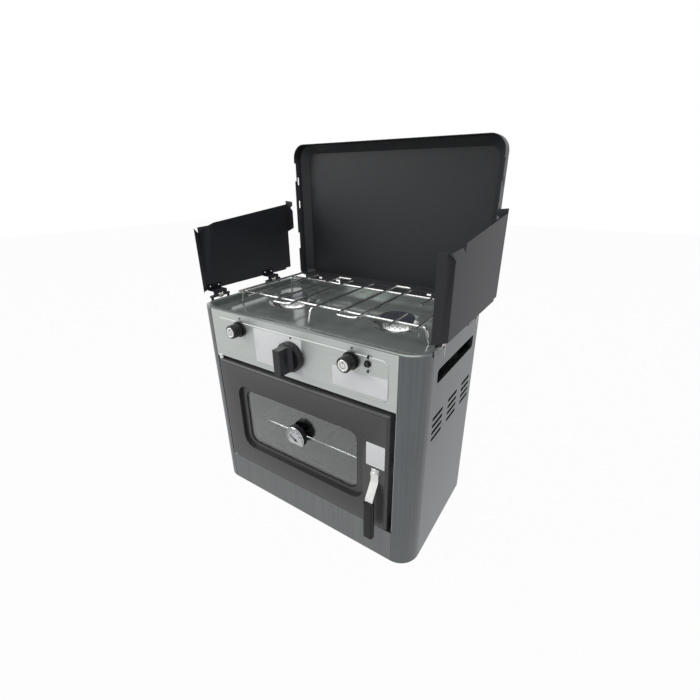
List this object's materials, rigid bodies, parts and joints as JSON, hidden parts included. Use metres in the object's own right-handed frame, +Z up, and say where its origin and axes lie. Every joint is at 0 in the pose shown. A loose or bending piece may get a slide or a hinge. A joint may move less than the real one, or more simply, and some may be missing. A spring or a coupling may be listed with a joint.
{
  "type": "camp oven",
  "caption": "Folding camp stove with open lid, side windshields and wire trivet over hob burners, above a small gas oven with glass door.",
  "frame": {"origin": "on the ground, under the middle of the part's box with the lid open, 9.4 mm behind the middle of the cabinet", "axes": "+X to the right seen from the front, +Y to the back, +Z up"},
  "size_m": [0.535, 0.3912, 0.742],
  "materials": {
    "brushed": "brushed stainless sheet",
    "steel": "bright rolled sheet",
    "galv": "plain galvanised sheet",
    "black_paint": "satin black enamel",
    "door_grey": "dark grey metallic paint",
    "enamel": "dark oven enamel",
    "chrome": "bright plated",
    "glass": "tinted tempered glass",
    "rubber": "black rubber",
    "plastic": "black moulded plastic",
    "matte": "black moulded plastic",
    "cap": "blue-black enamel",
    "brass": "plain",
    "red": "painted"
  },
  "bodies": {
    "cabinet": {"side_panel_left": "brushed", "side_panel_right": "brushed", "back_panel": "galv", "base_pan": "galv", "feet": "rubber", "lower_front_panel": "brushed", "control_panel": "brushed", "hob_plate": "steel", "door_surround": "galv", "oven_seal": "rubber", "oven_liner": "enamel", "oven_floor_plate": "galv", "oven_burner": "galv", "rack_runner_left": "galv", "rack_runner_right": "galv", "burner_left": "steel", "burner_right": "steel", "burner_cap_left": "cap", "burner_cap_right": "cap", "gas_manifold": "galv", "gas_inlet": "brass", "oven_supply_pipe": "galv", "trivet": "chrome", "shield_bracket_right_front": "black_paint", "shield_bracket_right_rear": "black_paint", "shield_bracket_left_front": "black_paint", "shield_bracket_left_rear": "black_paint", "shield_spring_right_front": "chrome", "shield_spring_right_rear": "chrome", "shield_spring_left_front": "chrome", "shield_spring_left_rear": "chrome", "lid_bracket_left": "black_paint", "lid_bracket_right": "black_paint", "door_pin_lower": "chrome", "door_pin_upper": "chrome", "latch_keeper": "galv"},
    "lid": {"lid_shell": "black_paint", "lid_leaf_left": "black_paint", "lid_leaf_right": "black_paint"},
    "windshield_right": {"windshield_right": "black_paint", "shield_leaf_right_front": "black_paint", "shield_leaf_right_rear": "black_paint"},
    "windshield_left": {"windshield_left": "black_paint", "shield_leaf_left_front": "black_paint", "shield_leaf_left_rear": "black_paint"},
    "door": {"door_outer": "door_grey", "door_inner": "door_grey", "door_glass": "glass", "glass_seal": "rubber", "thermometer": "steel"},
    "needle": {"thermometer_needle": "red"},
    "latch": {"latch_lever": "steel", "latch_grip": "matte"},
    "knob_left": {"knob_left": "plastic", "knob_disc_left": "chrome"},
    "knob_right": {"knob_right": "plastic", "knob_disc_right": "chrome"},
    "knob_oven": {"knob_oven": "plastic"},
    "rack_upper": {"rack_upper": "chrome"},
    "rack_lower": {"rack_lower": "chrome"}
  },
  "joints": [
    {"name": "lid_hinge", "type": "hinge", "parent": "cabinet", "child": "lid", "pos_m": [0, 0.1536, 0.43], "axis": [1, 0, 0], "range_deg": [0, 90]},
    {"name": "windshield_right_hinge", "type": "hinge", "parent": "cabinet", "child": "windshield_right", "pos_m": [0.251, -0.0094, 0.44], "axis": [0, -1, 0], "range_deg": [0, 90], "stiffness_Nm_per_rad": 0.06, "springref_deg": -57.3},
    {"name": "windshield_left_hinge", "type": "hinge", "parent": "cabinet", "child": "windshield_left", "pos_m": [-0.251, -0.0094, 0.44], "axis": [0, 1, 0], "range_deg": [0, 90], "stiffness_Nm_per_rad": 0.06, "springref_deg": -57.3},
    {"name": "door_hinge", "type": "hinge", "parent": "cabinet", "child": "door", "pos_m": [-0.2016, -0.1534, 0.2], "axis": [0, 0, -1], "range_deg": [0, 100]},
    {"name": "latch_turn", "type": "hinge", "parent": "door", "child": "latch", "pos_m": [0.1765, -0.1594, 0.201], "axis": [0, -1, 0], "range_deg": [0, 90]},
    {"name": "needle_pivot", "type": "hinge", "parent": "door", "child": "needle", "pos_m": [0, -0.1674, 0.202], "axis": [0, 1, 0], "range_deg": [0, 120], "stiffness_Nm_per_rad": 0.0002, "springref_deg": -28.65},
    {"name": "knob_left_turn", "type": "hinge", "parent": "cabinet", "child": "knob_left", "pos_m": [-0.128, -0.1594, 0.405], "axis": [0, 1, 0], "range_deg": [0, 220]},
    {"name": "knob_right_turn", "type": "hinge", "parent": "cabinet", "child": "knob_right", "pos_m": [0.128, -0.1594, 0.405], "axis": [0, 1, 0], "range_deg": [0, 220]},
    {"name": "knob_oven_turn", "type": "hinge", "parent": "cabinet", "child": "knob_oven", "pos_m": [0, -0.1594, 0.38], "axis": [0, 1, 0], "range_deg": [0, 180]},
    {"name": "rack_upper_slide", "type": "slide", "parent": "cabinet", "child": "rack_upper", "axis": [0, -1, 0], "range_m": [0, 0.075]},
    {"name": "rack_lower_slide", "type": "slide", "parent": "cabinet", "child": "rack_lower", "axis": [0, -1, 0], "range_m": [0, 0.075]}
  ],
  "couplings": [
    {"joint": "rack_upper_slide", "follows": "door_hinge", "m_per_rad": 0.042},
    {"joint": "rack_lower_slide", "follows": "door_hinge", "m_per_rad": 0.042}
  ]
}
